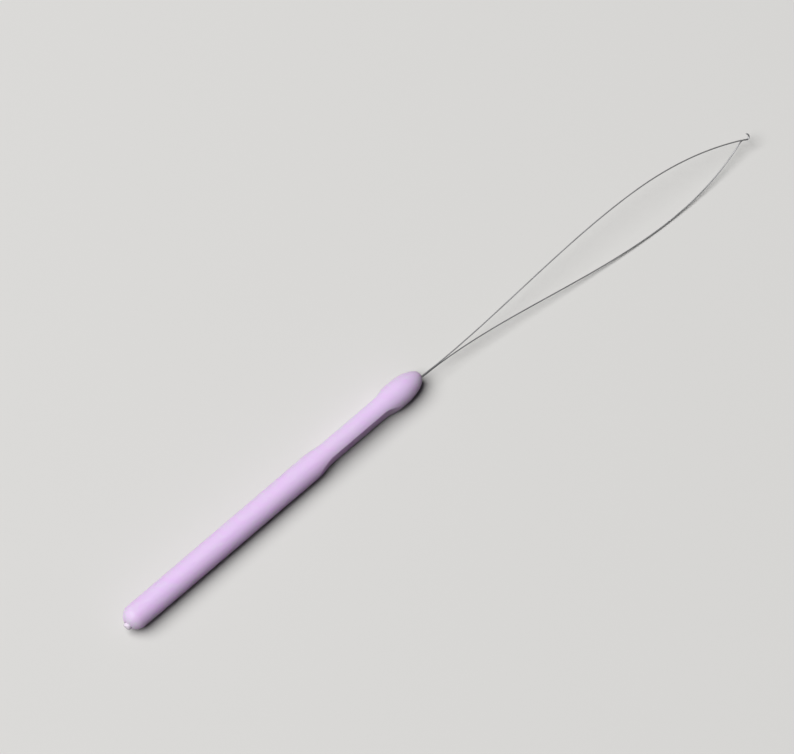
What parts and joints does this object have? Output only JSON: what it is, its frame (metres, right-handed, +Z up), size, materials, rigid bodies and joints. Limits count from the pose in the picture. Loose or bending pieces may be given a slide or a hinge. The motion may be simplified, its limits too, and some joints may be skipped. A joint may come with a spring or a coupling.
{
  "type": "bead threader tool",
  "caption": "Slim round plastic handle with a flat scooped into each side of its grip, holding a long springy wire loop with a tiny hook at its tip, for drawing thread or hair through beads.",
  "frame": {"origin": "on the surface that the tool lies on, under the middle of the whole tool's box", "axes": "+X along the handle from its tail to the wire's hook, +Z up from the surface, with the grip's flats facing +Y and -Y"},
  "size_m": [0.2478, 0.0178, 0.0086],
  "materials": {
    "handle_plastic": "satin lavender moulded plastic",
    "plug_plastic": "glossy white",
    "sleeve_brass": "drawn tube, crimped",
    "adhesive": "cured clear adhesive",
    "spring_wire": "drawn stainless spring wire"
  },
  "bodies": {
    "grip": {"handle": "handle_plastic", "tail_plug": "plug_plastic", "crimp_sleeve": "sleeve_brass", "adhesive_plug": "adhesive", "wire_leg_left": "spring_wire", "wire_leg_right": "spring_wire"},
    "strand_left_rear": {"strand_left_rear": "spring_wire"},
    "strand_left_middle": {"strand_left_middle": "spring_wire"},
    "strand_left_front": {"strand_left_front": "spring_wire"},
    "strand_right_rear": {"strand_right_rear": "spring_wire"},
    "strand_right_middle": {"strand_right_middle": "spring_wire"},
    "strand_right_front": {"strand_right_front": "spring_wire"},
    "hook": {"wire_hook": "spring_wire"}
  },
  "joints": [
    {"name": "loop_squeeze", "type": "hinge", "parent": "grip", "child": "strand_left_rear", "pos_m": [0.01241, 0.00346, 0.00485], "axis": [0.0353, 0.4988, -0.866], "range_deg": [0, 6.2], "stiffness_Nm_per_rad": 0.05},
    {"name": "left_middle_flex", "type": "hinge", "parent": "strand_left_rear", "child": "strand_left_middle", "pos_m": [0.06567, 0.00454, 0.00775], "axis": [-0.0353, -0.4988, 0.866], "range_deg": [0, 7.74]},
    {"name": "left_front_flex", "type": "hinge", "parent": "strand_left_middle", "child": "strand_left_front", "pos_m": [0.10312, 0.00106, 0.00728], "axis": [-0.0353, -0.4988, 0.866], "range_deg": [0, 14.36]},
    {"name": "tip_flex", "type": "hinge", "parent": "strand_left_front", "child": "hook", "pos_m": [0.11972, -0.00443, 0.0048], "axis": [0.0353, 0.4988, -0.866], "range_deg": [0, 15.89]},
    {"name": "right_root_flex", "type": "hinge", "parent": "grip", "child": "strand_right_rear", "pos_m": [0.01234, 0.00253, 0.00396], "axis": [-0.0353, -0.4988, 0.866], "range_deg": [0, 6.21]},
    {"name": "right_middle_flex", "type": "hinge", "parent": "strand_right_rear", "child": "strand_right_middle", "pos_m": [0.0649, -0.00628, 0.00092], "axis": [0.0353, 0.4988, -0.866], "range_deg": [0, 7.74]},
    {"name": "right_front_flex", "type": "hinge", "parent": "strand_right_middle", "child": "strand_right_front", "pos_m": [0.10245, -0.00829, 0.00129], "axis": [0.0353, 0.4988, -0.866], "range_deg": [0, 14.36]}
  ],
  "couplings": [
    {"joint": "left_middle_flex", "follows": "loop_squeeze", "ratio": 1.2469},
    {"joint": "left_front_flex", "follows": "loop_squeeze", "ratio": 2.3147},
    {"joint": "tip_flex", "follows": "loop_squeeze", "ratio": 2.5616},
    {"joint": "right_root_flex", "follows": "loop_squeeze", "ratio": 1},
    {"joint": "right_middle_flex", "follows": "loop_squeeze", "ratio": 1.2469},
    {"joint": "right_front_flex", "follows": "loop_squeeze", "ratio": 2.3147}
  ]
}
